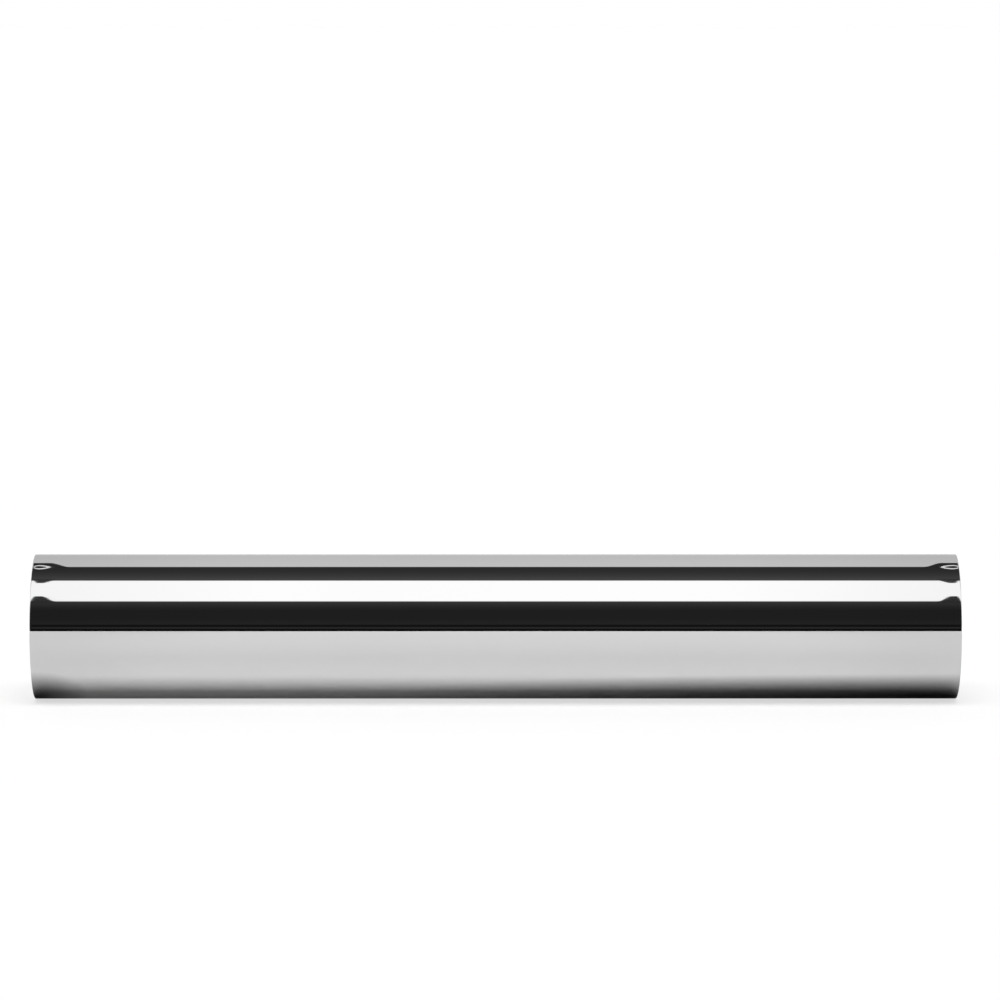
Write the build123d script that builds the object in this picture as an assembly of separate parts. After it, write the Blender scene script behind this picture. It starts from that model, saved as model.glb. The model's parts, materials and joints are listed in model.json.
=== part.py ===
from build123d import *
import os

# Toilet connector pipe: a straight drawn tube that carries the flush from a wall outlet to the pan inlet.
# The tube lies along X, and the middle of its axis is the origin. Sizes are in millimetres.

# Driving dimensions
PIPE_LENGTH = 287.0  # from end face to end face
OUTER_DIAMETER = 45.0  # flush-pipe size, which 45 mm lip seals grip
WALL_THICKNESS = 1.0  # drawn tube
RIM_RADIUS = 0.2  # outer edge of each end, polished round so that it slides past a lip seal
BORE_BEVEL = 0.2  # inner edge of each end, where the saw burr is taken off
END_LAND = 0.1  # least flat ring that stays between the two on an end face

# Values that follow from them
outer_radius = OUTER_DIAMETER / 2
wall_middle_radius = outer_radius - WALL_THICKNESS / 2
rim_radius = min(RIM_RADIUS, WALL_THICKNESS - BORE_BEVEL - END_LAND)


def pipe_wall_section():
    """The wall cut along the axis: a long strip, with round outer corners and bevelled inner ones."""
    with BuildSketch(Plane.XZ) as section:
        with Locations((0, wall_middle_radius)):
            Rectangle(PIPE_LENGTH, WALL_THICKNESS)
        bore_corners = section.vertices().group_by(Axis.Y)[0]
        rim_corners = section.vertices().group_by(Axis.Y)[-1]
        fillet(rim_corners, rim_radius)
        chamfer(bore_corners, BORE_BEVEL)
    return section.sketch


def make_pipe():
    """The wall section turned once round the axis."""
    with BuildPart() as pipe:
        revolve(pipe_wall_section(), axis=Axis.X)
    return pipe.part


os.makedirs("parts", exist_ok=True)
export_step(make_pipe(), "parts/pipe.step")
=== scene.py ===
import json
import math
from collections import namedtuple

import bpy
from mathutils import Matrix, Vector


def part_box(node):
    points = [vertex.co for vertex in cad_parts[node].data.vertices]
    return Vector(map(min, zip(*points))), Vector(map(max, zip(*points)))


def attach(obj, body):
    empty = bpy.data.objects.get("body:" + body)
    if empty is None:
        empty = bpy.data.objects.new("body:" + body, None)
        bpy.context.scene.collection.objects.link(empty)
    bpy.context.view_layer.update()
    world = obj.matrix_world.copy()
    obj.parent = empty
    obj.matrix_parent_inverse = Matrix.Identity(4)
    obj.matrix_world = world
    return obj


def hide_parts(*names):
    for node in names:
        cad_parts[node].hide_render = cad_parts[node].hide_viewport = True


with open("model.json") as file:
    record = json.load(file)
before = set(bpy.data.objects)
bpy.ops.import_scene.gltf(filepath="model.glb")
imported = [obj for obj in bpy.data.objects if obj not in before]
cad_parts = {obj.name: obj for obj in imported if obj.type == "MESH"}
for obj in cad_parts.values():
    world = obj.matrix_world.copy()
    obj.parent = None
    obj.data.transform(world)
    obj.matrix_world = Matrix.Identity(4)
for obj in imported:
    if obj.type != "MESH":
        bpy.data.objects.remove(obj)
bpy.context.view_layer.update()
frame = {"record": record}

# Sizes of the pipe, in metres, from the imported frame
MM = 0.001
mount_dims = {mount["name"]: mount["dims"] for mount in frame["record"]["mounts"]}
half_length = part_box("pipe")[1].x
outer_radius = mount_dims["outer_wall"]["r_mm"] * MM
bore_radius = mount_dims["bore"]["r_mm"] * MM
rim_radius = half_length - mount_dims["outer_wall"]["length_mm"] * MM / 2
bore_bevel = half_length - mount_dims["bore"]["length_mm"] * MM / 2
floor_height = -outer_radius

# Fineness of the pipe's mesh
TURN_STEPS = 360
RIM_STEPS = 10
WALL_STEPS = 36
RIM_GUARD = 0.1 * MM  # a ring this close to each rim keeps the wall's shading straight

# Chrome plate. Each noise has a scale and a detail.
CHROME_COLOUR = 0.63
CHROME_EDGE_TINT = 0.8  # keeps the reflection even towards the silhouette
CLOUD_NOISE = (30.0, 3.0)
CLOUD_SHARE = 0.015  # by which the colour drifts up or down
HAZE_NOISE = (160.0, 4.0)
HAZE_ROUGHNESS = (0.004, 0.02)
RIPPLE_NOISE = (45.0, 1.0)
RIPPLE_STRENGTH = 0.2
RIPPLE_HEIGHT = 0.05 * MM

# Bore: plating that runs in at each mouth, dull drawn brass beyond it, and draw lines along both
BORE_METALLIC = 0.6
BRASS_COLOUR = (0.68, 0.60, 0.45, 1.0)
PLATING_COLOUR = (0.80, 0.79, 0.77, 1.0)
PLATING_FULL = 0.2 * outer_radius  # how far in from an end face it is full
PLATING_END = 2.2 * outer_radius  # how far in it has faded away
LINE_STRETCH = (0.015, 1.0, 1.0)  # draws the noise out along the pipe
LINE_NOISE = (900.0, 3.0)
LINE_SHADE = (0.6, 1.25)
LINE_ROUGHNESS = (0.24, 0.54)
LINE_STRENGTH = 0.4
LINE_DEPTH = 0.1 * MM

# Camera, from the photograph: the pipe's scale, its place in the frame and the bulge of its ends
PHOTO_SIDE_PX = 1000
PIPE_CENTRE_PX = Vector((495.7, 626.4))
PX_PER_METRE = 3204.0  # at the pipe's axis
CAMERA_DISTANCE = 1.63
CAMERA_ELEVATION = math.radians(7.55)
SENSOR_WIDTH_MM = 36.0

# Floor and key light
FLOOR_COLOUR = 0.87
FLOOR_HALF_SIDE = 12.0
FLOOR_LIFT = 0.65  # share of white that the camera sees in the floor
FLOOR_PAINTED_GLOW = (0.09, 0.03)  # painted light: share of white that the metal shows in the floor, at the pipe's left and right end
FLOOR_PAINTED_SHADE_SPAN = (0.09, 0.16)  # metres from the pipe's middle, between which the floor in the metal darkens as painted shade
FLOOR_PAINTED_SHADE_SHARE = 0.1  # by which it darkens
KEY_ELEVATION = math.radians(67.0)
KEY_SPREAD = math.radians(36.0)
KEY_STRENGTH = 1.82

# Studio, in degrees about the pipe's axis from the level front, over the top, to the level back
FRONT_END = 47.5  # the dark front ends here and the softbox begins
GAP_START = 86.3  # the softbox ends here and the dark gap begins
GAP_END = 117.5  # the dark gap ends here and the backdrop begins
BAND_EDGE = 1.2  # over which a bright band fades in or out
SOFTBOX_RADIANCE = 1.55
BACKDROP_RADIANCE = 0.84
STUDIO_BANDS = (
    # degrees and radiance; low in the dark front there is a faint line of light
    (0.0, 0.005),
    (2.8, 0.005),
    (4.6, 0.034),
    (5.8, 0.034),
    (7.4, 0.007),
    (9.0, 0.007),
    (11.0, 0.026),
    (20.0, 0.0206),
    (33.0, 0.0206),
    (38.0, 0.028),
    (FRONT_END, 0.055),
    (FRONT_END + BAND_EDGE, SOFTBOX_RADIANCE),
    (GAP_START - BAND_EDGE, SOFTBOX_RADIANCE),
    (GAP_START, 0.09),
    (96.5, 0.06),
    (105.5, 0.042),
    (GAP_END, 0.035),
    (GAP_END + BAND_EDGE, BACKDROP_RADIANCE),
    (180.0, BACKDROP_RADIANCE),
)
FALL_OFF = 0.92  # share of the bands' brightness that is left towards the studio's ends
FALL_OFF_SLOPES = (0.045, 0.09)  # sideways share of a direction where the fall begins and ends

# Painted reflections: dark cards at both ends of the softbox, shaped like clips and flags, which only the
# metal shows
CARD_STEPS = 48
CARD_RADIUS = 4.0  # their distance from the pipe's axis
CARD_TUCK = 3.0  # degrees that each card reaches back into the dark band it grows from
EndCard = namedtuple("EndCard", "name radiance border top begin full fall end")
END_CARDS = (
    # degrees of the band's border and of the card's top,
    # and metres along the pipe where its image begins, is full, falls and ends
    EndCard("front_clip_reflection", 0.037, FRONT_END, 56.5, 0.1360, 0.1397, 0.1416, 0.1434),
    EndCard("rear_clip_reflection", 0.054, GAP_START, 80.8, 0.1358, 0.1396, 0.1413, 0.1427),
    EndCard("rear_flag_reflection", 0.032, GAP_END, 129.7, 0.1317, 0.1379, 0.1454, 0.1460),
)

# Painted highlight: a bright loop before each rear flag, shaped like a drop, which only the metal shows
LOOP_RADIUS = 3.96  # its distance from the pipe's axis
LOOP_RADIANCE = 1.1
LOOP_PLACE = 0.1402  # of its middle's image, in metres along the pipe
LOOP_TURN = 117.2  # of its middle, in degrees about the pipe
LOOP_HALF_LENGTH = 0.0028
LOOP_HALF_WIDTH = 5.4  # in degrees
LOOP_TAPER = 0.35  # its inner end is narrower by this share, its outer end wider
LOOP_HOLE = (0.72, 0.55)  # shares of the loop's length and width
LOOP_HOLE_SHIFT = 0.16  # share of the loop's half length, towards the pipe's end

# Painted shadow: dark patches of floor under the ends, which only the metal shows
EndShade = namedtuple("EndShade", "name side half_span half_depth share")
END_SHADES = (
    # metres along and across the pipe, and the share of the floor hidden in the patch's middle
    EndShade("shade_left", -1, 0.017, 0.0165, 0.97),
    EndShade("shade_right", 1, 0.19, 0.015, 0.92),
)
SHADE_FORWARD = 0.007  # from under the pipe's axis towards the camera
SHADE_LIFT = 0.0002  # over the floor

# One ring of the pipe's section: its place, whether bore follows it and whether it is a sharp edge
Ring = namedtuple("Ring", "x radius starts_bore is_sharp", defaults=(False, False))


def grey(level):
    """An opaque grey."""
    return (level, level, level, 1.0)


def set_inputs(tree, node, inputs):
    """Links each input to the socket given for it, or sets it to the value given."""
    for name, value in inputs.items():
        if isinstance(value, bpy.types.NodeSocket):
            tree.links.new(value, node.inputs[name])
        else:
            node.inputs[name].default_value = value


def add_node(tree, kind, inputs=None, **settings):
    """A new node of this kind, with its settings and inputs."""
    node = tree.nodes.new(kind)
    for name, value in settings.items():
        setattr(node, name, value)
    set_inputs(tree, node, inputs or {})
    return node


def add_math(tree, operation, *values):
    """The result of an operation on numbers and sockets."""
    return add_node(tree, "ShaderNodeMath", dict(enumerate(values)), operation=operation).outputs["Value"]


def add_range(tree, value, low, high, start=0.0, stop=1.0, **settings):
    """The value, mapped from low..high to start..stop and held within it."""
    inputs = {"Value": value, "From Min": low, "From Max": high, "To Min": start, "To Max": stop}
    return add_node(tree, "ShaderNodeMapRange", inputs, **settings).outputs["Result"]


def add_noise(tree, vector, scale, detail):
    """A noise over the given coordinates."""
    inputs = {"Vector": vector, "Scale": scale, "Detail": detail}
    return add_node(tree, "ShaderNodeTexNoise", inputs).outputs["Fac"]


def add_ramp(tree, value, stops):
    """The colour for a value of 0..1, between stops that each have a position and a colour."""
    ramp = add_node(tree, "ShaderNodeValToRGB", {"Fac": value})
    elements = ramp.color_ramp.elements
    for index, (position, colour) in enumerate(stops):
        element = elements[index] if index < 2 else elements.new(position)
        element.position = position
        element.color = colour
    return ramp.outputs["Color"]


def add_bump(tree, height, strength, distance):
    """The normal of a surface with this relief."""
    inputs = {"Height": height, "Strength": strength, "Distance": distance}
    return add_node(tree, "ShaderNodeBump", inputs).outputs["Normal"]


def add_split(tree, vector):
    """The X, Y and Z of a vector."""
    return list(add_node(tree, "ShaderNodeSeparateXYZ", {"Vector": vector}).outputs)


def mix_output(tree, share, first, second, output="Material Output"):
    """Shows the first shader, and this share of the second instead."""
    mix = add_node(tree, "ShaderNodeMixShader", {"Fac": share, 1: first, 2: second})
    set_inputs(tree, tree.nodes[output], {"Surface": mix.outputs["Shader"]})


def new_material(name):
    """A material and its node tree."""
    material = bpy.data.materials.new(name)
    material.use_nodes = True
    return material, material.node_tree


def object_place(tree):
    """A point's place in the object's own coordinates."""
    return add_node(tree, "ShaderNodeTexCoord").outputs["Object"]


def wall_section():
    """The wall cut along the axis, as rings: along the outside, round a rim, and back through the bore."""
    straight_end = half_length - rim_radius
    bore_end = half_length - bore_bevel
    stations = [straight_end * (2 * step / WALL_STEPS - 1) for step in range(WALL_STEPS + 1)]
    stations.insert(1, -straight_end + RIM_GUARD)
    stations.insert(-1, straight_end - RIM_GUARD)
    outside = [Ring(x, outer_radius) for x in stations]
    rim = []
    for step in range(1, RIM_STEPS + 1):
        angle = math.pi / 2 * step / RIM_STEPS
        x = straight_end + rim_radius * math.sin(angle)
        rim.append(Ring(x, outer_radius - rim_radius * (1 - math.cos(angle))))
    mouth = Ring(half_length, bore_radius + bore_bevel, is_sharp=True)
    bore = []
    for step in range(WALL_STEPS + 1):
        x = bore_end * (1 - 2 * step / WALL_STEPS)
        bore.append(Ring(x, bore_radius, step < WALL_STEPS, step in (0, WALL_STEPS)))
    other_mouth = mouth._replace(x=-half_length)
    other_rim = [ring._replace(x=-ring.x) for ring in reversed(rim)]
    return [*outside, *rim, mouth, *bore, other_mouth, *other_rim]


def turned_mesh(name, section):
    """A closed mesh: the section's rings, turned once round the X axis and joined in order."""
    vertices = []
    faces = []
    slots = []
    for index, ring in enumerate(section):
        here = index * TURN_STEPS
        there = (index + 1) % len(section) * TURN_STEPS
        for step in range(TURN_STEPS):
            angle = 2 * math.pi * step / TURN_STEPS
            after = (step + 1) % TURN_STEPS
            vertices.append((ring.x, ring.radius * math.cos(angle), ring.radius * math.sin(angle)))
            faces.append((here + step, here + after, there + after, there + step))
            slots.append(1 if ring.starts_bore else 0)
    mesh = bpy.data.meshes.new(name)
    mesh.from_pydata(vertices, [], faces)
    mesh.polygons.foreach_set("material_index", slots)
    mesh.polygons.foreach_set("use_smooth", [True] * len(faces))
    for edge in mesh.edges:
        first, second = (vertex // TURN_STEPS for vertex in edge.vertices)
        edge.use_edge_sharp = first == second and section[first].is_sharp
    mesh.update()
    return mesh


def chrome_material():
    """Mirror chrome plate: neutral, with faint cloudiness and a faint polishing ripple."""
    material, tree = new_material("chrome_plate")
    place = object_place(tree)
    cloud = add_noise(tree, place, *CLOUD_NOISE)
    haze = add_noise(tree, place, *HAZE_NOISE)
    ripple = add_noise(tree, place, *RIPPLE_NOISE)
    darker = grey(CHROME_COLOUR * (1 - CLOUD_SHARE))
    lighter = grey(CHROME_COLOUR * (1 + CLOUD_SHARE))
    set_inputs(tree, tree.nodes["Principled BSDF"], {
        "Base Color": add_ramp(tree, cloud, ((0.0, darker), (1.0, lighter))),
        "Metallic": 1.0,
        "Roughness": add_range(tree, haze, 0.0, 1.0, *HAZE_ROUGHNESS),
        "Normal": add_bump(tree, ripple, RIPPLE_STRENGTH, RIPPLE_HEIGHT),
        "Specular Tint": grey(CHROME_EDGE_TINT),
    })
    return material


def bore_material():
    """Unpolished bore: silvery plating at each mouth that fades into dull brass, with draw lines."""
    material, tree = new_material("drawn_bore")
    place = object_place(tree)
    from_middle = add_math(tree, "ABSOLUTE", add_split(tree, place)[0])
    fade = (half_length - PLATING_END, half_length - PLATING_FULL)
    plating = add_range(tree, from_middle, *fade, interpolation_type="SMOOTHSTEP")
    tone = add_ramp(tree, plating, ((0.0, BRASS_COLOUR), (1.0, PLATING_COLOUR)))
    stretch = add_node(tree, "ShaderNodeMapping", {"Vector": place, "Scale": LINE_STRETCH})
    lines = add_noise(tree, stretch.outputs["Vector"], *LINE_NOISE)
    shade = add_range(tree, lines, 0.0, 1.0, *LINE_SHADE)
    streaked = add_node(tree, "ShaderNodeVectorMath", {"Vector": tone, "Scale": shade}, operation="SCALE")
    set_inputs(tree, tree.nodes["Principled BSDF"], {
        "Base Color": streaked.outputs["Vector"],
        "Metallic": BORE_METALLIC,
        "Roughness": add_range(tree, lines, 0.0, 1.0, *LINE_ROUGHNESS),
        "Normal": add_bump(tree, lines, LINE_STRENGTH, LINE_DEPTH),
    })
    return material


def make_pipe():
    """The plated tube, in place of the CAD node."""
    pipe = bpy.data.objects.new("plated_pipe", turned_mesh("plated_pipe", wall_section()))
    pipe.data.materials.append(chrome_material())
    pipe.data.materials.append(bore_material())
    bpy.context.scene.collection.objects.link(pipe)
    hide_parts("pipe")
    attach(pipe, "root")


def floor_material():
    """Matt and pale. The camera sees much white in it; the metal shows a little white as painted light,
    more at the left end, and darker ends as painted shade.
    """
    material, tree = new_material("pale_floor")
    shader = tree.nodes["Principled BSDF"]
    rays = add_node(tree, "ShaderNodeLightPath").outputs
    along = add_split(tree, object_place(tree))[0]
    from_middle = add_math(tree, "ABSOLUTE", along)
    # Painted shade: the floor that the metal shows darkens towards the pipe's ends
    darkest = -FLOOR_COLOUR * FLOOR_PAINTED_SHADE_SHARE
    fall = add_range(tree, from_middle, *FLOOR_PAINTED_SHADE_SPAN, 0.0, darkest, interpolation_type="SMOOTHSTEP")
    set_inputs(tree, shader, {
        "Base Color": add_math(tree, "MULTIPLY_ADD", rays["Is Glossy Ray"], fall, FLOOR_COLOUR),
        "Roughness": 1.0,
        "Specular IOR Level": 0.0,
    })
    lift = add_math(tree, "MULTIPLY", rays["Is Camera Ray"], FLOOR_LIFT)
    # Painted light: white that only the metal shows in the floor, more at the left end than at the right
    painted_glow = add_range(tree, along, -half_length, half_length, *FLOOR_PAINTED_GLOW)
    share = add_math(tree, "MULTIPLY_ADD", rays["Is Glossy Ray"], painted_glow, lift)
    white = add_node(tree, "ShaderNodeEmission")
    mix_output(tree, share, shader.outputs["BSDF"], white.outputs["Emission"])
    return material


def make_floor():
    """A plain pale floor that the pipe lies on."""
    side = FLOOR_HALF_SIDE
    corners = [(-side, -side, 0), (side, -side, 0), (side, side, 0), (-side, side, 0)]
    mesh = bpy.data.meshes.new("floor")
    mesh.from_pydata(corners, [], [(0, 1, 2, 3)])
    mesh.materials.append(floor_material())
    floor = bpy.data.objects.new("floor", mesh)
    floor.location.z = floor_height
    bpy.context.scene.collection.objects.link(floor)


def make_studio():
    """A softbox and dark flags over the pipe and a pale backdrop behind it. The camera sees plain white."""
    world = bpy.data.worlds.new("studio")
    world.use_nodes = True
    bpy.context.scene.world = world
    tree = world.node_tree
    x, y, z = add_split(tree, add_node(tree, "ShaderNodeTexCoord").outputs["Generated"])
    forward = add_math(tree, "MULTIPLY", y, -1.0)
    upward = add_math(tree, "MAXIMUM", z, 0.0)
    half_turn = add_range(tree, add_math(tree, "ARCTAN2", upward, forward), 0.0, math.pi)
    stops = [(degrees / 180, grey(radiance / SOFTBOX_RADIANCE)) for degrees, radiance in STUDIO_BANDS]
    strengths = (SOFTBOX_RADIANCE, SOFTBOX_RADIANCE * FALL_OFF)
    bands = tree.nodes["Background"]
    set_inputs(tree, bands, {
        "Color": add_ramp(tree, half_turn, stops),
        "Strength": add_range(tree, add_math(tree, "ABSOLUTE", x), *FALL_OFF_SLOPES, *strengths),
    })
    white = add_node(tree, "ShaderNodeBackground", {"Color": grey(1.0)})
    is_camera = add_node(tree, "ShaderNodeLightPath").outputs["Is Camera Ray"]
    mix_output(tree, is_camera, bands.outputs["Background"], white.outputs["Background"], "World Output")


def glow_material(name, radiance):
    """A plain surface of the studio with one brightness, for the painted reflections."""
    material, tree = new_material(name)
    painted_glow = add_node(tree, "ShaderNodeEmission", {"Strength": radiance})
    set_inputs(tree, tree.nodes["Material Output"], {"Surface": painted_glow.outputs["Emission"]})
    return material


def studio_point(along_pipe, degrees, radius):
    """The studio's point in this direction about the pipe whose mirror image lies this far along it."""
    angle = math.radians(degrees)
    spread = 1 + (radius - outer_radius) / (CAMERA_DISTANCE - outer_radius)
    return (along_pipe * spread, -radius * math.cos(angle), radius * math.sin(angle))


def smooth_step(value):
    """0 to 1 with level ends, as the value goes from 0 to 1."""
    value = min(max(value, 0.0), 1.0)
    return value * value * (3 - 2 * value)


def add_card(name, near_edge, far_edge, material, is_loop=False):
    """A card of the studio between two rows of points, which only the metal shows, for a painted
    reflection.
    """
    count = len(near_edge)
    faces = []
    for step in range(count if is_loop else count - 1):
        after = (step + 1) % count
        faces.append((step, after, count + after, count + step))
    mesh = bpy.data.meshes.new(name)
    mesh.from_pydata(near_edge + far_edge, [], faces)
    mesh.materials.append(material)
    card = bpy.data.objects.new(name, mesh)
    card.visible_camera = False
    card.visible_diffuse = False
    card.visible_transmission = False
    card.visible_shadow = False
    bpy.context.scene.collection.objects.link(card)
    return card


def add_swelling(name, side, card):
    """A dark card that swells out of a dark band of the studio, with smooth shoulders: a painted
    reflection.
    """
    height = card.top - card.border
    foot = card.border - math.copysign(CARD_TUCK, height)
    foot_edge = []
    top_edge = []
    for step in range(CARD_STEPS + 1):
        along = card.begin + (card.end - card.begin) * step / CARD_STEPS
        rising = smooth_step((along - card.begin) / (card.full - card.begin))
        falling = smooth_step((card.end - along) / (card.end - card.fall))
        foot_edge.append(studio_point(side * along, foot, CARD_RADIUS))
        top_edge.append(studio_point(side * along, card.border + height * rising * falling, CARD_RADIUS))
    add_card(name, foot_edge, top_edge, glow_material(name, card.radiance))


def loop_edge(side, length=1.0, width=1.0, shift=0.0):
    """Points round the bright loop, or round its hole, which has shares of the loop's size."""
    points = []
    for step in range(CARD_STEPS):
        turn = 2 * math.pi * step / CARD_STEPS
        taper = 1 + LOOP_TAPER * math.cos(turn)
        along = LOOP_PLACE + LOOP_HALF_LENGTH * (length * math.cos(turn) + shift)
        degrees = LOOP_TURN + LOOP_HALF_WIDTH * width * taper * math.sin(turn)
        points.append(studio_point(side * along, degrees, LOOP_RADIUS))
    return points


def make_end_cards():
    """Painted reflections: dark cards like clips and flags at both ends of the softbox, and a painted
    highlight, a bright loop, before each rear flag.
    """
    bright = glow_material("painted_highlight_loop", LOOP_RADIANCE)
    for side_name, side in (("left", -1), ("right", 1)):
        for card in END_CARDS:
            add_swelling(f"{card.name}_{side_name}", side, card)
        hole = loop_edge(side, *LOOP_HOLE, LOOP_HOLE_SHIFT)
        add_card(f"loop_{side_name}", loop_edge(side), hole, bright, is_loop=True)


def shade_material(name, share):
    """A painted shadow: black by this share in the middle of its card, and clear towards the card's edge.
    """
    material, tree = new_material(name)
    place = object_place(tree)
    middle = add_node(tree, "ShaderNodeTexGradient", {"Vector": place}, gradient_type="SPHERICAL")
    hidden = add_range(tree, middle.outputs["Fac"], 0.0, 1.0, 0.0, share)
    clear = add_node(tree, "ShaderNodeBsdfTransparent")
    black = add_node(tree, "ShaderNodeEmission", {"Strength": 0.0})
    mix_output(tree, hidden, clear.outputs["BSDF"], black.outputs["Emission"])
    return material


def make_end_shades():
    """Painted shadow: the darker floor under both ends of the pipe, which only the metal shows."""
    for shade in END_SHADES:
        material = shade_material(shade.name, shade.share)
        card = add_card(shade.name, [(-1, -1, 0), (1, -1, 0)], [(-1, 1, 0), (1, 1, 0)], material)
        card.location = (shade.side * half_length, -SHADE_FORWARD, floor_height + SHADE_LIFT)
        card.scale = (shade.half_span, shade.half_depth, 1)


def make_key_light():
    """The softbox's light on the floor: soft, from over the front. The metal shows the softbox instead."""
    data = bpy.data.lights.new("key_light", "SUN")
    data.energy = KEY_STRENGTH
    data.angle = KEY_SPREAD
    key = bpy.data.objects.new("key_light", data)
    key.rotation_euler.x = math.pi / 2 - KEY_ELEVATION
    key.visible_glossy = False
    bpy.context.scene.collection.objects.link(key)


def make_camera():
    """The photograph's viewpoint: square to the pipe's length and a little above it."""
    data = bpy.data.cameras.new("camera")
    camera = bpy.data.objects.new("camera", data)
    bpy.context.scene.collection.objects.link(camera)
    bpy.context.scene.camera = camera
    data.sensor_width = SENSOR_WIDTH_MM
    data.lens = SENSOR_WIDTH_MM * CAMERA_DISTANCE * PX_PER_METRE / PHOTO_SIDE_PX
    away = Vector((0, math.cos(CAMERA_ELEVATION), -math.sin(CAMERA_ELEVATION)))
    up = Vector((0, math.sin(CAMERA_ELEVATION), math.cos(CAMERA_ELEVATION)))
    camera.location = -away * CAMERA_DISTANCE
    middle = PHOTO_SIDE_PX / 2
    right_of_pipe = (middle - PIPE_CENTRE_PX.x) / PX_PER_METRE
    above_pipe = (PIPE_CENTRE_PX.y - middle) / PX_PER_METRE
    target = Vector((right_of_pipe, 0, 0)) + up * above_pipe
    camera.rotation_euler = (target - camera.location).to_track_quat("-Z", "Y").to_euler()


make_pipe()
make_floor()
make_studio()
make_end_cards()
make_end_shades()
make_key_light()
make_camera()
bpy.context.scene.view_settings.view_transform = "Standard"
